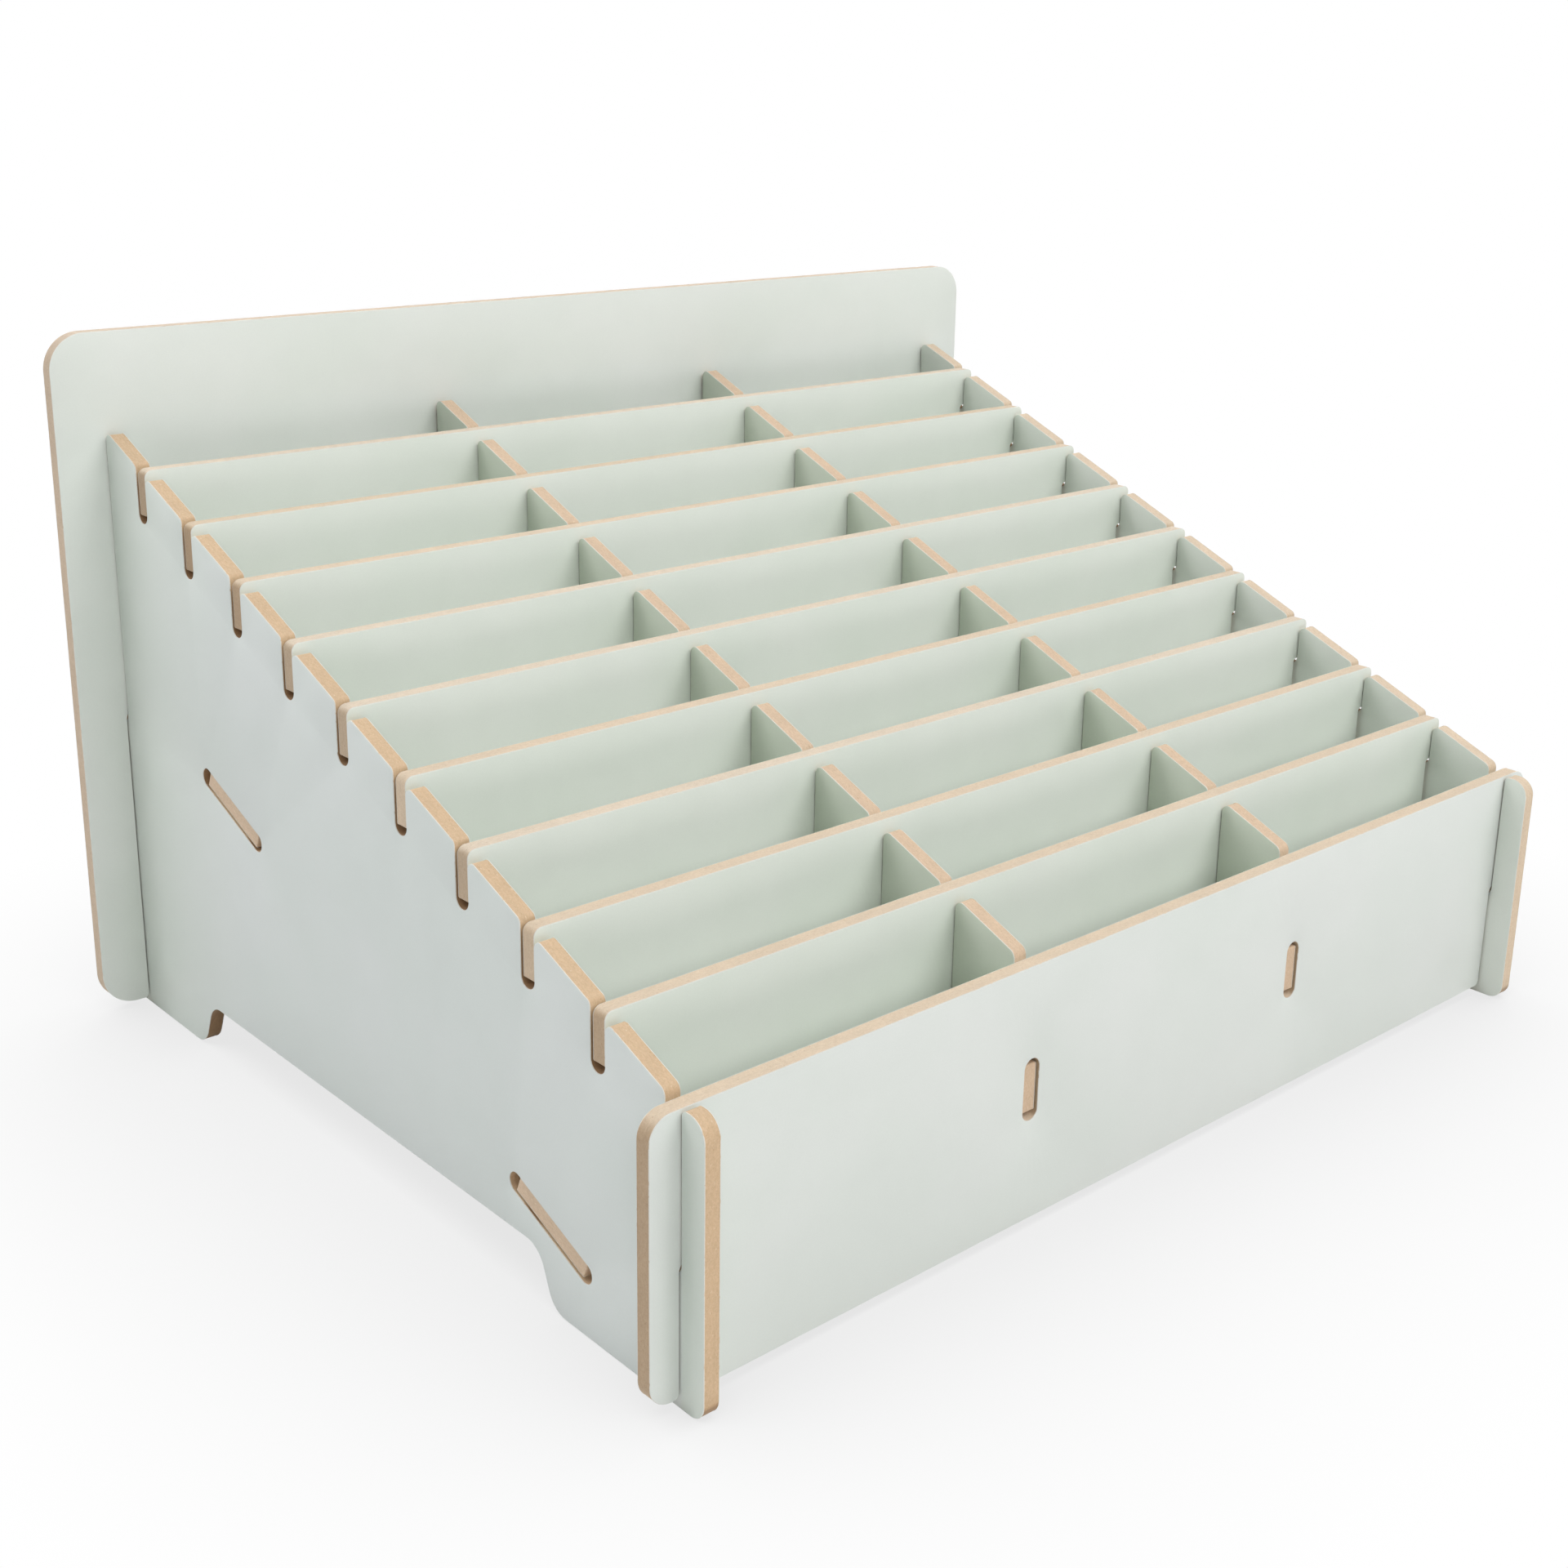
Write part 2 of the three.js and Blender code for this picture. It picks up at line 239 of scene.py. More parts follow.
def panel_outline(bottom, top, wing, corner, slot_top, mortise_z):
    """The front or back panel, slotted from below over the side panels."""
    outer = [
        (-wing, bottom, corner),
        *slot(-OUTER_GAP, SLOT - OUTER_GAP, bottom, slot_top),
        *slot(WIDTH - SLOT + OUTER_GAP, WIDTH + OUTER_GAP, bottom, slot_top),
        (WIDTH + wing, bottom, corner),
        (WIDTH + wing, top, corner),
        (-wing, top, corner),
    ]
    holes = [mortise(x + BOARD / 2, mortise_z, MORTISE_HEIGHT, math.pi / 2) for x in LONG_X]
    return rounded(outer), holes


def floor_outline():
    """The floor board in its own plane: (X, distance up the slope)."""
    lean = BOARD / 2 * math.sin(TILT)
    start = (BOARD + FLOOR_CLEAR + lean) / math.cos(TILT)
    end = (BACK_Y - FLOOR_CLEAR - lean) / math.cos(TILT)
    edge = BOARD + FLOOR_CLEAR
    left = [(edge, end, FLOOR_CORNER_R)]
    for y in reversed(TAB_Y):
        middle = y / math.cos(TILT)
        left += tab(edge, FLOOR_CLEAR, middle + TAB_LENGTH / 2, middle - TAB_LENGTH / 2)
    left.append((edge, start, FLOOR_CORNER_R))
    return rounded(left + [(WIDTH - x, y, radius) for x, y, radius in reversed(left)]), []


def long_outline():
    front, rear = BOARD + LONG_FRONT_GAP, BACK_Y - LONG_REAR_GAP
    half = TENON_HEIGHT / 2
    rear_tip = BACK_Y + BOARD - TENON_RECESS
    outer = [
        (front, floor_top(front) + LONG_CLEAR, DIVIDER_FOOT_R),
        (rear, floor_top(rear) + LONG_CLEAR, DIVIDER_FOOT_R),
        *tab(rear, rear_tip, BACK_MORTISE_Z - half, BACK_MORTISE_Z + half),
        *reversed(notched_top(front, rear, lambda row: lap_middle(row) - LAP_GAP, LONG_DROP)),
        *tab(front, TENON_RECESS, MORTISE_Z + half, MORTISE_Z - half),
    ]
    return rounded(outer), []


def cross_outline(row):
    top, bottom, lap = cross_top(row), cross_bottom(row), lap_middle(row) + LAP_GAP
    ear, inner = top - EAR_HEIGHT, BOARD + END_GAP
    outer = [(inner, bottom, DIVIDER_FOOT_R)]
    for x in LONG_X:
        outer += slot(x + BOARD / 2 - SLOT / 2, x + BOARD / 2 + SLOT / 2, bottom, lap)
    outer += [
        (WIDTH - inner, bottom, DIVIDER_FOOT_R),
        (WIDTH - inner, ear, EAR_ROOT_R),
        (WIDTH - END_RECESS, ear, EAR_FOOT_R),
        (WIDTH - END_RECESS, top, EAR_TOP_R),
        (END_RECESS, top, EAR_TOP_R),
        (END_RECESS, ear, EAR_FOOT_R),
        (inner, ear, EAR_ROOT_R),
    ]
    return rounded(outer), []


# ---- board meshes ------------------------------------------------------------------------------
SKIN = 0.17  # laminate thickness
# The edge's profile: (inset from the outline, height from the nearer face, share of wear).
PROFILE = [
    (0.11, 0.0, 1.0), (0.032, 0.028, 0.7), (0.0, 0.10, 0.2), (0.0, SKIN, 0.0),
    (0.035, SKIN + 0.03, 0.0),
]  # fmt: skip
RINGS = PROFILE + [(inset, BOARD - z, share) for inset, z, share in reversed(PROFILE)]
LAST = len(RINGS) - 1
FACE, BAND, CORE, UNDERSIDE = 0, 1, 2, 3  # material slots
# The outline's waver and the skin edges' wear, mm.
WAVE = {"wavelength": 9.0, "octaves": 2}
WEAR = {"wavelength": 4.0, "octaves": 3}
WAVE_DEPTH, WEAR_DEPTH = 0.012, 0.02
# Where the texture of each part starts, metres.
CAP_UV_RANGE, EDGE_UV_RANGE, EDGE_UV_PER_SEED, UNDERSIDE_UV = 0.9, 3.0, 0.01, (1.3, 1.1)
SHARP_ANGLE = 38
BOX_TOLERANCE = 0.0003


def smooth_noise(places, total, rng, wavelength, octaves):
    """Smooth periodic noise of about unit size along a loop of length total."""
    noise = np.zeros(len(places))
    for octave in range(octaves):
        count = max(4, int(total / (wavelength / 2**octave)))
        knots = np.array([rng.uniform(-1, 1) for _ in range(count)])
        x = places / total * count
        i = np.floor(x).astype(int)
        blend = x - i
        blend = blend * blend * (3 - 2 * blend)
        noise += (knots[i % count] * (1 - blend) + knots[(i + 1) % count] * blend) / 2**octave
    return noise


def unit_rows(rows):
    return rows / np.linalg.norm(rows, axis=1, keepdims=True)


def loop_normals(loop):
    """Mitred normals that point out of the material."""
    before = loop - np.roll(loop, 1, axis=0)
    after = np.roll(loop, -1, axis=0) - loop
    before, after = (unit_rows(np.stack([d[:, 1], -d[:, 0]], 1)) for d in (before, after))
    middle = unit_rows(before + after)
    return middle / np.clip((middle * before).sum(1, keepdims=True), 0.5, 1)


def area(loop):
    x, y = loop[:, 0], loop[:, 1]
    return 0.5 * float((x * np.roll(y, -1) - np.roll(x, -1) * y).sum())


def inside(point, polygon):
    x, y = point
    hit = False
    for i in range(len(polygon)):
        (x0, y0), (x1, y1) = polygon[i - 1], polygon[i]
        if (y0 > y) != (y1 > y) and x < (x1 - x0) * (y - y0) / (y1 - y0) + x0:
            hit = not hit
    return hit


class Board:
    """Collects the mesh of one board: its walls, ring by ring, then its two faces."""

    def __init__(self, outer, holes, seed, tone):
        self.rng = random.Random(seed)
        self.verts, self.tones, self.faces, self.slots, self.uvs = [], [], [], [], []
        self.cap_uv = self.rng.uniform(0, CAP_UV_RANGE), self.rng.uniform(0, CAP_UV_RANGE)
        self.edge_uv = self.rng.uniform(0, EDGE_UV_RANGE), EDGE_UV_PER_SEED * seed
        self.loops = []  # (index of the first vertex, number of points)
        for i, outline in enumerate([outer] + holes):
            loop = np.array(outline, float)
            if (area(loop) < 0) != (i > 0):  # outline anticlockwise, holes clockwise
                loop = loop[::-1].copy()
            self.add_wall(loop, tone)
        self.wall_faces = len(self.faces)
        self.add_caps()

    def add_face(self, ids, slot_index, uv):
        self.faces.append(ids)
        self.slots.append(slot_index)
        self.uvs += uv

    def add_wall(self, loop, tone):
        count, start = len(loop), len(self.verts)
        self.loops.append((start, count))
        normals = loop_normals(loop)
        lengths = np.linalg.norm(np.roll(loop, -1, axis=0) - loop, axis=1)
        run = np.concatenate([[0], np.cumsum(lengths)])
        places = run[:-1], run[-1], self.rng
        wave = smooth_noise(*places, **WAVE) * WAVE_DEPTH
        wears = [np.clip(smooth_noise(*places, **WEAR), 0, 2) * WEAR_DEPTH for _ in range(2)]
        shades = [tone(at, normal / np.linalg.norm(normal)) for at, normal in zip(loop, normals)]
        for j, (inset, z, share) in enumerate(RINGS):
            wear = wears[j >= len(PROFILE)] * share
            ring = loop - normals * (inset + wear - wave)[:, None]
            self.verts += [(x, y, z) for x, y in ring]
            self.tones += shades
        shift_u, shift_v = self.edge_uv
        for j in range(LAST):
            nearer = min(j, LAST - 1 - j)
            rim = UNDERSIDE if j == 0 else FACE
            slot_index = CORE if nearer >= 3 else BAND if nearer else rim
            low, high = start + j * count, start + (j + 1) * count
            v0, v1 = (RINGS[i][1] * MM + shift_v for i in (j, j + 1))
            for i in range(count):
                k = (i + 1) % count
                u0, u1 = run[i] * MM + shift_u, run[i + 1] * MM + shift_u
                uv = [(u0, v0), (u1, v0), (u1, v1), (u0, v1)]
                self.add_face((low + i, low + k, high + k, high + i), slot_index, uv)

    def add_caps(self):
        """Fill the last ring of every loop, and the first ring with the same triangles."""
        flat, pairs, edges, polygons = [], [], [], []
        for start, count in self.loops:
            base, top = len(flat), start + LAST * count
            polygons.append([Vector(self.verts[top + i][:2]) for i in range(count)])
            flat += polygons[-1]
            pairs += [(top + i, start + i) for i in range(count)]
            edges += [(base + i, base + (i + 1) % count) for i in range(count)]
        filled = geometry.delaunay_2d_cdt(flat, edges, [], 1, 1e-6)
        points, triangles, sources = filled[0], filled[2], filled[3]
        if len(points) != len(flat):
            raise RuntimeError("the outline crosses itself")
        shift_u, shift_v = self.cap_uv
        under_u, under_v = UNDERSIDE_UV
        for triangle in triangles:
            centre = sum((points[i] for i in triangle), Vector((0, 0))) / 3
            if any(inside(centre, hole) for hole in polygons[1:]):
                continue
            ids = [sources[i][0] for i in triangle]
            first, second, third = (flat[i] for i in ids)
            if (second - first).cross(third - first) < 0:
                ids = ids[::-1]
            uv = [(flat[i][0] * MM + shift_u, flat[i][1] * MM + shift_v) for i in ids]
            self.add_face(tuple(pairs[i][0] for i in ids), FACE, uv)
            under = [(u + under_u, v + under_v) for u, v in reversed(uv)]
            self.add_face(tuple(pairs[i][1] for i in reversed(ids)), UNDERSIDE, under)

    def mesh(self, name, matrix):
        mesh = bpy.data.meshes.new(name)
        placed = [tuple(matrix @ Vector(vert) * MM) for vert in self.verts]
        mesh.from_pydata(placed, [], self.faces)
        mesh.polygons.foreach_set("material_index", self.slots)
        tones = mesh.attributes.new("tone", "FLOAT", "POINT")
        tones.data.foreach_set("value", np.array(self.tones, np.float32))
        layer = mesh.uv_layers.new(name="board_mm")
        layer.data.foreach_set("uv", np.array(self.uvs, np.float32).ravel())
        smooth = [i < self.wall_faces for i in range(len(self.faces))]
        mesh.polygons.foreach_set("use_smooth", smooth)
        mesh.update()
        mesh.set_sharp_from_angle(angle=math.radians(SHARP_ANGLE))
        mesh.validate()
        return mesh


def basis(x, y, z, origin):
    matrix = Matrix((x, y, z)).transposed().to_4x4()
    matrix.translation = Vector(origin) + OFFSET
    return matrix


def lengthways(x):
    """Outline in (Y, Z), thickness along +X."""
    return basis((0, 1, 0), (0, 0, 1), (1, 0, 0), (x, 0, 0))


def crossways(y):
    """Outline in (X, Z), thickness along -Y from the rear face."""
    return basis((1, 0, 0), (0, 0, 1), (0, -1, 0), (0, y + BOARD, 0))


def sloping():
    """Outline in (X, up the slope), thickness along the slope's upward normal."""
    cos, sin = math.cos(TILT), math.sin(TILT)
    normal = Vector((0, -sin, cos))
    origin = Vector((0, 0, FLOOR_AT_FRONT)) - normal * BOARD / 2
    return basis((1, 0, 0), (0, cos, sin), normal, origin)


# ---- materials ---------------------------------------------------------------------------------


def feed(node, inputs):
    """Link each input that is given a socket, and set the others."""
    for key, value in inputs.items():
        if isinstance(value, bpy.types.NodeSocket):
            node.id_data.links.new(value, node.inputs[key])
        else:
            node.inputs[key].default_value = value


def add_node(tree, kind, inputs={}, **settings):
    node = tree.nodes.new("ShaderNode" + kind)
    for key, value in settings.items():
        setattr(node, key, value)
    feed(node, inputs)
    return node


def empty_tree(owner):
    owner.use_nodes = True
    owner.node_tree.nodes.clear()
    return owner.node_tree


class Shader:
    """A Principled material, with short ways to add the nodes that feed it."""

    def __init__(self, name):
        self.material = bpy.data.materials.new(name)
        self.tree = empty_tree(self.material)
        self.surface = self.add("BsdfPrincipled")
        self.add("OutputMaterial", {0: self.surface.outputs[0]})
        self.uv = self.add("UVMap", uv_map="board_mm").outputs[0]

    def add(self, kind, inputs={}, **settings):
        return add_node(self.tree, kind, inputs, **settings)

    def noise(self, scale, shift=(0, 0), detail=3, rough=0.55):
        """Scale is in cycles per metre along U and V."""
        place = {"Vector": self.uv, "Scale": (*scale, 1), "Location": (*shift, 0)}
        vector = self.add("Mapping", place).outputs[0]
        inputs = {"Vector": vector, "Scale": 1, "Detail": detail, "Roughness": rough}
        return self.add("TexNoise", inputs, noise_dimensions="2D").outputs["Fac"]

    def remap(self, value, span=(0.3, 0.7), to=(0, 1)):
        keys = ("Value", "From Min", "From Max", "To Min", "To Max")
        return self.add("MapRange", dict(zip(keys, (value, *span, *to))), clamp=True).outputs[0]

    def math(self, operation, first, second):
        return self.add("Math", {0: first, 1: second, 2: 0.0}, operation=operation).outputs[0]

    def total(self, first, *others):
        for other in others:
            first = self.math("ADD", first, other)
        return first

    def mix(self, factor, first, second, blend="MIX"):
        inputs = {"Factor": factor, 6: first, 7: second}
        return self.add("Mix", inputs, data_type="RGBA", blend_type=blend).outputs[2]

    def scale_color(self, color, factor):
        return self.add("VectorMath", {0: color, "Scale": factor}, operation="SCALE").outputs[0]

    def bump(self, height, strength, distance):
        inputs = {"Strength": strength, "Distance": distance, "Height": height}
        feed(self.surface, {"Normal": self.add("Bump", inputs).outputs[0]})


LAMINATE_TINTS = (0.695, 0.731, 0.689), (0.703, 0.729, 0.696)
# World Y, metres, over which the painted green bounce light of a laminate with ends fades in at the
# rear and at the front.
REAR_BOUNCE_FADE, FRONT_BOUNCE_FADE = (0.040, 0.084), (-0.0885, -0.0895)


def laminate(name, tint, ends=None):
    """ends: what the colour is multiplied by next to the front and back panels' wings, a painted green
    bounce light from them.
    """
    shader = Shader("laminate_" + name)
    broad = shader.noise(scale=(28, 28), detail=2)
    cloud = shader.noise(scale=(160, 160), shift=(3, 7))
    grain = shader.noise(scale=(3200, 3200), shift=(11, 5), detail=2)
    level = shader.total(
        shader.remap(broad, to=(0.985, 1.012)),
        shader.remap(cloud, to=(-0.006, 0.006)),
        shader.remap(grain, to=(-0.008, 0.008)),
    )
    one, two = ((*(a * b for a, b in zip(base, tint)), 1) for base in LAMINATE_TINTS)
    color = shader.mix(shader.remap(broad, span=(0.35, 0.65)), one, two)
    if ends:
        place = shader.add("NewGeometry").outputs["Position"]
        y = shader.add("SeparateXYZ", {0: place}).outputs["Y"]
        near_wing_bounce = shader.total(shader.remap(y, span=REAR_BOUNCE_FADE), shader.remap(y, span=FRONT_BOUNCE_FADE))
        color = shader.mix(near_wing_bounce, color, shader.mix(1.0, color, (*ends, 1), "MULTIPLY"))
    feed(shader.surface, {
        "Base Color": shader.scale_color(color, level),
        "Roughness": shader.remap(cloud, to=(0.34, 0.44)),
        "IOR": 1.52,
    })  # fmt: skip
    # a satin sheet doesn't mirror the room at a glancing look
    facing = shader.add("LayerWeight", {"Blend": 0.5}).outputs["Facing"]
    shine = shader.surface.inputs["Specular IOR Level"].default_value
    fading = shader.remap(facing, span=(0.68, 0.86), to=(shine, 0.0))
    feed(shader.surface, {"Specular IOR Level": fading})
    peel = shader.noise(scale=(1100, 1100), shift=(1, 2), rough=0.6)
    shader.bump(peel, strength=0.25, distance=0.00002)
    return shader.material


DARK_SPECK, PALE_SPECK = (0.40, 0.23, 0.10, 1), (0.82, 0.70, 0.53, 1)
MID_SHARE = 0.66  # how much of the mid colour evens out the fibres
TONE_POWERS = (1.0, 1.28, 1.65)  # a darker cut is also redder: powers for red, green, blue


def core_color(shader, light, mid, dark):
    """Routed fibreboard: fine fibres, mottling, specks, and the darker tone of some cuts, partly
    painted shade.
    """
    fibre = shader.noise(scale=(1250, 2300), detail=4, rough=0.6)
    fuzz = shader.noise(scale=(3600, 4800), shift=(5, 1), detail=2, rough=0.6)
    blotch = shader.noise(scale=(230, 420), shift=(9, 3), rough=0.6)
    broad = shader.noise(scale=(45, 60), shift=(7, 4), detail=2)
    streak = shader.noise(scale=(240, 3000), shift=(2, 8), detail=2)
    color = shader.mix(shader.remap(fibre, span=(0.32, 0.68)), dark, light)
    color = shader.mix(MID_SHARE, color, mid)
    level = shader.total(
        shader.remap(blotch, to=(0.965, 1.03)),
        shader.remap(fuzz, to=(-0.05, 0.05)),
        shader.remap(broad, to=(-0.02, 0.02)),
        shader.remap(streak, span=(0.35, 0.65), to=(-0.012, 0.012)),
    )
    color = shader.scale_color(color, level)
    speck = shader.noise(scale=(1500, 2600), shift=(3, 3), detail=1)
    color = shader.mix(shader.remap(speck, span=(0.72, 0.80), to=(0, 0.35)), color, DARK_SPECK)
    pale = shader.noise(scale=(1100, 2000), shift=(13, 8), detail=1)
    color = shader.mix(shader.remap(pale, span=(0.72, 0.82), to=(0, 0.4)), color, PALE_SPECK)
    tone = shader.add("Attribute", attribute_name="tone").outputs["Fac"]
    channels = [shader.math("POWER", tone, power) for power in TONE_POWERS]
    shade = shader.add("CombineColor", dict(enumerate(channels))).outputs[0]
    return shader.mix(1.0, color, shade, "MULTIPLY"), fibre, fuzz


def core(name, colors):
    shader = Shader("fibreboard_" + name)
    color, fibre, fuzz = core_color(shader, *colors)
    feed(shader.surface, {
        "Base Color": color, "Roughness": 0.86, "IOR": 1.4,
        "Sheen Weight": 0.12, "Sheen Roughness": 0.6,
    })  # fmt: skip
    height = shader.math("ADD", fibre, shader.math("MULTIPLY", fuzz, 0.6))
    shader.bump(height, strength=0.5, distance=0.00006)
    return shader.material


BAND_COLORS = (0.655, 0.635, 0.585, 1), (0.715, 0.70, 0.655, 1)


def band(name, colors):
    """The cut edge of the laminate: paler than the fibreboard, with tiny chips that show it."""
    shader = Shader("laminate_edge_" + name)
    color, _, fuzz = core_color(shader, *colors)
    chips = shader.noise(scale=(620, 1500), shift=(4, 6), rough=0.6)
    edge = shader.mix(shader.remap(fuzz), *BAND_COLORS)
    chipped = shader.remap(chips, span=(0.60, 0.70), to=(0, 0.7))
    feed(shader.surface, {"Base Color": shader.mix(chipped, edge, color), "Roughness": 0.6})
    shader.bump(chips, strength=0.4, distance=0.00005)
    return shader.material


# Fibreboard colours: light, mid, dark.
DEEP = (0.70, 0.52, 0.345), (0.63, 0.45, 0.285), (0.53, 0.36, 0.21)
SOFT = (0.74, 0.585, 0.42), (0.68, 0.52, 0.355), (0.58, 0.42, 0.27)
BRIGHTEST = 0.9
CORES = {  # name: (colours, what their red, green and blue are multiplied by)
    "warm": (DEEP, (1.02, 1.03, 1.03)),
    "tan": (DEEP, (1.05, 1.10, 1.22)),
    "pale": (SOFT, (1.03, 1.09, 1.18)),
    "paler": (SOFT, (1.06, 1.17, 1.34)),
    "rear": (SOFT, (0.96, 1.01, 1.12)),
    "honey": (SOFT, (0.96, 1.01, 1.06)),
}


def shifted(colors, factors):
    return [(*(min(a * b, BRIGHTEST) for a, b in zip(color, factors)), 1) for color in colors]


# Copies of the one mint laminate, tinted per face as painted light and shade: outer bluish for cool
# light on the left side, inner greener for bounce light inside the rack, light brighter on the right
# panel's inner face, green darker and greener as painted shade on the long dividers' left faces, front
# a little darker.
SHEETS = {
    "plain": laminate("plain", tint=(0.99, 0.995, 0.98)),
    "front": laminate("front", tint=(0.965, 0.965, 0.965)),
    "outer": laminate("outer", tint=(1.0, 1.02, 1.045), ends=(1.0, 1.012, 0.96)),
    "inner": laminate("inner", tint=(1.0, 1.018, 0.977)),
    "light": laminate("light", tint=(1.04, 1.055, 1.02)),
    "green": laminate("green", tint=(0.94, 0.985, 0.88)),
}
EDGES = {key: (band(key, shifted(*mix)), core(key, shifted(*mix))) for key, mix in CORES.items()}

# ---- tones of the cuts, partly painted shade: each takes a place on the outline and the outward normal there ---
NOTCH_MARGIN, NOTCH_SHADE_FROM, NOTCH_SHADE_SPAN = 0.05, 1.2, 2.5
# the notch and under losses are painted shade: of the deep notches, and of the cuts that face down
# towards the table
NOTCH_PAINTED_SHADE, WING_END_LOSS, UNDER_PAINTED_SHADE = 0.5, 0.09, 0.45
ARCH_MARGIN, REAR_ARCH_FROM = 1, 60
TENON_END_TONE = 0.89


def clamp(value):
    return min(1.0, max(0.0, value))


def plain(at, normal):
    return 1.0


def ends(left, right):
    """A board that stands across the rack: its left and right end cuts are darker."""

    def tone(at, normal):
        end = left if normal[0] < 0 else right
        return 1 + (end - 1) * clamp((abs(normal[0]) - 0.55) / 0.4)

    return tone


def side_tone_and_painted_shade(at, normal):
    """A side panel: painted shade in the notches and on the cuts that face down, and darker upright
    ends.
    """
    y, z = at
    depth = rise(y) - z
    for row in range(1, ROWS):
        start = notch_y(row)
        if start - NOTCH_MARGIN <= y <= start + SLOT + NOTCH_MARGIN and depth > NOTCH_SHADE_FROM:
            return 1 - NOTCH_PAINTED_SHADE * clamp((depth - NOTCH_SHADE_FROM) / NOTCH_SHADE_SPAN)
    upright = clamp((abs(normal[0]) - 0.7) / 0.3)
    down = 0.0
    if z < ARCH_HEIGHT + ARCH_MARGIN:
        down = clamp(-normal[1] / 0.3)
        if y > REAR_ARCH_FROM:  # the arch's rear slope, which faces the front, gets the same painted shade
            down = max(down, clamp(-normal[0] / 0.3))
    return (1 - WING_END_LOSS * upright) * (1 - UNDER_PAINTED_SHADE * down)


def tenon_tone(at, normal):
    """A long divider: the end of its front tenon is darker."""
    return TENON_END_TONE if at[0] < BOARD and normal[0] < -0.7 else 1.0


# ---- pieces ------------------------------------------------------------------------------------


def piece(node, outline, matrix, color, sheets, seed, tone=plain, body="rack"):
    """sheets: laminates of the face the thickness grows towards, and of the other face."""
    mesh = Board(*outline, seed, tone).mesh(node + "_board", matrix)
    for material in (SHEETS[sheets[0]], *EDGES[color], SHEETS[sheets[1]]):
        mesh.materials.append(material)
    board = bpy.data.objects.new(node + "_board", mesh)
    bpy.context.scene.collection.objects.link(board)
    low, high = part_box(node)
    places = np.array([vert.co for vert in mesh.vertices])
    gap = max(abs(places.min(0) - np.array(low)).max(), abs(places.max(0) - np.array(high)).max())
    if gap > BOX_TOLERANCE:
        raise RuntimeError(f"{node} is {gap / MM:.2f} mm off its CAD box")
    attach(board, body)
    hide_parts(node)


for node, x, color, sheets, seed in (
    ("left_side_panel", 0, "warm", ("inner", "outer"), 11),
    ("right_side_panel", WIDTH - BOARD, "pale", ("plain", "light"), 12),
):
    piece(node, side_outline(), lengthways(x), color, sheets, seed, side_tone_and_painted_shade)

front_outline = panel_outline(
    FRONT_BOTTOM, FRONT_TOP, FRONT_WING, FRONT_CORNER, FRONT_HALVING[1], MORTISE_Z
)
back_outline = panel_outline(
    BACK_BOTTOM, BACK_TOP, BACK_WING, BACK_CORNER, BACK_HALVING[1], BACK_MORTISE_Z
)
piece("front_panel", front_outline, crossways(0), "pale", ("front", "inner"),
      seed=13, tone=ends(left=0.645, right=0.8))  # fmt: skip
piece("back_panel", back_outline, crossways(BACK_Y), "rear", ("plain", "plain"),
      seed=14, tone=ends(left=0.885, right=0.9))  # fmt: skip
piece("floor_board", floor_outline(), sloping(), "tan", ("inner", "plain"), seed=15)
for i, side in enumerate(("left", "right")):
    piece(f"long_divider_{side}", long_outline(), lengthways(LONG_X[i]), "tan",
          ("inner", "green"), seed=16 + i, tone=tenon_tone)  # fmt: skip

# Cross dividers from the back: (core, tone of the left end). The left ends of rows 1 to 3 sit deep in
# their notches, and their tone is painted shade.
CROSS_DIVIDERS = (
    ("paler", 0.58), ("honey", 0.58), ("pale", 0.60), ("paler", 0.66), ("paler", 0.69),
    ("pale", 0.92), ("paler", 0.68), ("pale", 0.84), ("pale", 0.67),
)  # fmt: skip
for row, (color, left_end) in enumerate(CROSS_DIVIDERS, 1):
    piece(f"cross_divider_{row}", cross_outline(row), crossways(notch_y(row) + DIVIDER_IN_NOTCH),
          color, ("inner", "inner"), seed=20 + row, tone=ends(left_end, right=0.85),
          body=f"divider_{row}")  # fmt: skip

# ---- stage, metres -----------------------------------------------------------------------------
scene = bpy.context.scene
STAGE_REACH, STAGE_Z = 6.0, -0.0002


def build_stage():
    """A floor that the camera sees as glowing white, with a painted contact shadow that dims it close
    to the rack.
    """
    mesh = bpy.data.meshes.new("stage_floor")
    signs = ((-1, -1), (1, -1), (1, 1), (-1, 1))
    corners = [(x * STAGE_REACH, y * STAGE_REACH, STAGE_Z) for x, y in signs]
    mesh.from_pydata(corners, [], [(0, 1, 2, 3)])
    stage = bpy.data.objects.new("stage_floor", mesh)
    scene.collection.objects.link(stage)
    material = bpy.data.materials.new("stage_floor")
    tree = empty_tree(material)
    seen = add_node(tree, "LightPath").outputs["Is Camera Ray"]
    diffuse = add_node(tree, "BsdfDiffuse", {0: (0.90, 0.90, 0.90, 1)}).outputs[0]
    # painted contact shadow: ambient occlusion dims the floor's glow near the rack
    nearness = add_node(tree, "AmbientOcclusion", {"Distance": 0.09}, samples=24).outputs["AO"]
    levels = {"From Min": 0.30, "From Max": 0.98, "To Min": 0.78, "To Max": 1.0}
    glow_under_painted_shadow = add_node(tree, "MapRange", {"Value": nearness, **levels}).outputs[0]
    emission = add_node(tree, "Emission", {"Strength": glow_under_painted_shadow}).outputs[0]
    mixed = add_node(tree, "MixShader", {0: seen, 1: diffuse, 2: emission}).outputs[0]
    add_node(tree, "OutputMaterial", {0: mixed})
    mesh.materials.append(material)


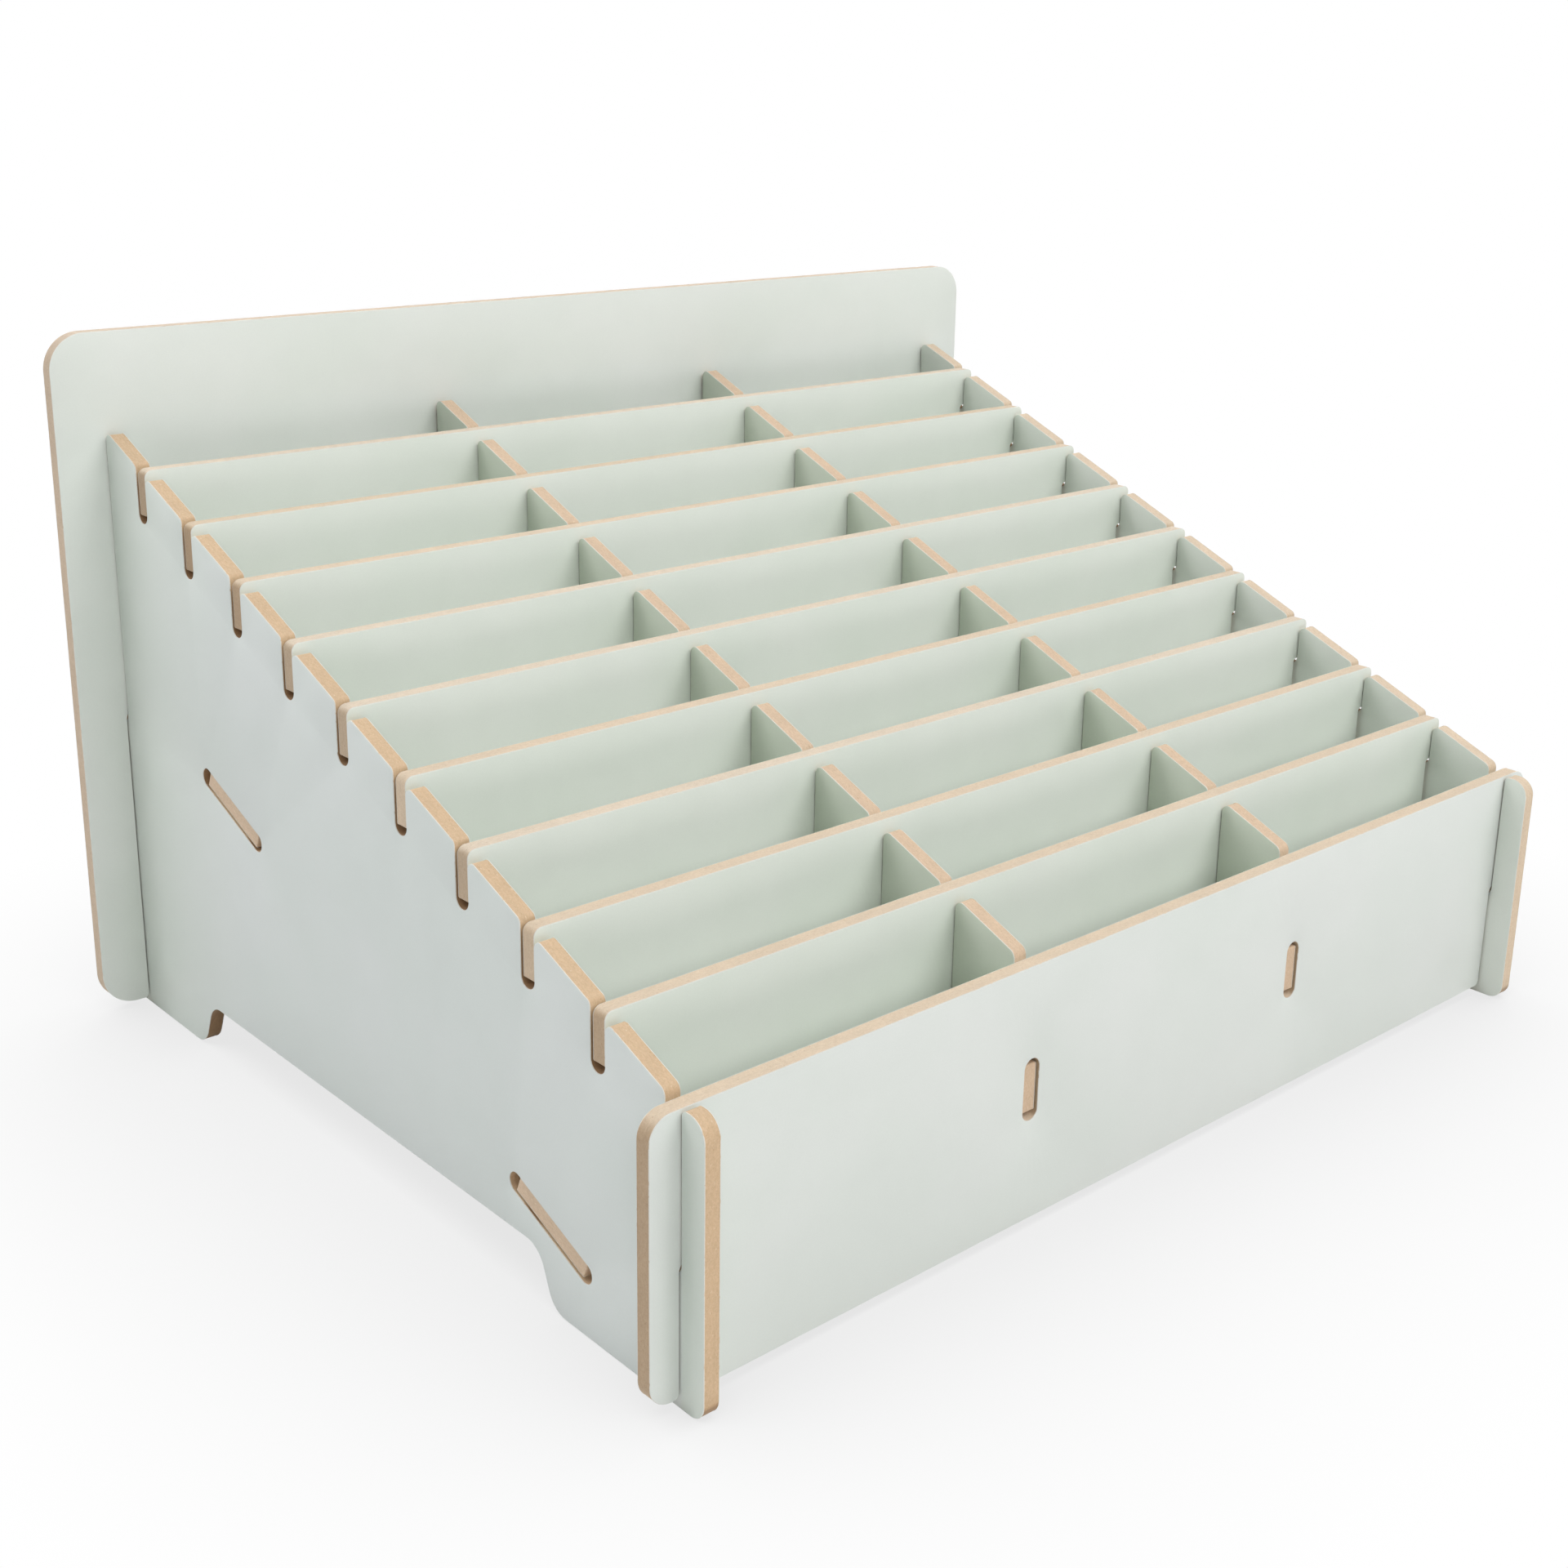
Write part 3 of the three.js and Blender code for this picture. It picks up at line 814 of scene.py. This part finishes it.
# ---- world and lights --------------------------------------------------------------------------
# Strength of the white world for diffuse light, for reflections and for the camera.
DIFFUSE_LIGHT, REFLECTED_ROOM, SEEN_ROOM = 0.0, 2.4, 1.0
LIGHTS = {
    # name: (degrees round from the front, positive to the right; degrees above the table; watts)
    "front_right": (30, 35, 10.1),
    "front_right_high": (30, 60, 4.8),
    "front": (0, 35, 4.0),
    "front_high": (0, 60, 4.9),
    "front_left": (-32, 35, 6.8),
    "left": (-120, 35, 8.1),
    "rear_high": (-150, 60, 8.0),
    "rear_low": (-150, 12, 2.6),
    "rear_fill": (180, 8, 6.5),
    "right_fill": (100, 8, 4.0),
}
LIGHT_SIZE, LIGHT_DISTANCE, LIGHT_AIM = 0.9, 1.8, Vector((0, 0, 0.05))


def build_world():
    world = bpy.data.worlds.new("studio")
    scene.world = world
    tree = empty_tree(world)
    rays = add_node(tree, "LightPath").outputs

    def backdrop(name, strength):
        inputs = {0: (1, 1, 1, 1), 1: strength}
        return add_node(tree, "Background", inputs, name=name).outputs[0]

    def choose(flag, otherwise, chosen):
        return add_node(tree, "MixShader", {0: rays[flag], 1: otherwise, 2: chosen}).outputs[0]

    diffuse = backdrop("diffuse_light", DIFFUSE_LIGHT)
    light = choose("Is Glossy Ray", diffuse, backdrop("reflected_room", REFLECTED_ROOM))
    seen = choose("Is Camera Ray", light, backdrop("seen_room", SEEN_ROOM))
    add_node(tree, "OutputWorld", {0: seen})


def build_light(name, azimuth, height, watts):
    data = bpy.data.lights.new(name, "AREA")
    data.shape = "SQUARE"
    data.size = LIGHT_SIZE
    data.energy = watts
    turn, lift = math.radians(azimuth), math.radians(height)
    level = math.cos(lift)
    toward = Vector((math.sin(turn) * level, -math.cos(turn) * level, math.sin(lift)))
    light = bpy.data.objects.new(name, data)
    light.location = LIGHT_AIM + toward * LIGHT_DISTANCE
    light.rotation_mode = "QUATERNION"
    light.rotation_quaternion = (-toward).to_track_quat("-Z", "Y")
    light.visible_camera = False
    scene.collection.objects.link(light)


# ---- camera: its axes, and its place in the rack's millimetres ---------------------------------
CAMERA_RIGHT = (0.74151171, -0.67064227, 0.01998324)
CAMERA_UP = (0.18157176, 0.22925365, 0.95628158)
CAMERA_BACK = (-0.64590408, -0.7054656, 0.29176396)
CAMERA_PLACE = (-160.402, -201.989, 190.811)


def build_camera():
    data = bpy.data.cameras.new("camera")
    camera = bpy.data.objects.new("camera", data)
    scene.collection.objects.link(camera)
    matrix = basis(CAMERA_RIGHT, CAMERA_UP, CAMERA_BACK, CAMERA_PLACE)
    matrix.translation = matrix.translation * MM
    camera.matrix_world = matrix
    data.sensor_width = 36
    data.lens = 47.48145
    data.shift_x, data.shift_y = -0.0227911458, -0.0693963542
    data.clip_start, data.clip_end = 0.01, 50
    scene.camera = camera


build_stage()
build_world()
for name, placing in LIGHTS.items():
    build_light("light_" + name, *placing)
build_camera()
scene.view_settings.view_transform = "Standard"
scene.view_settings.look = "None"
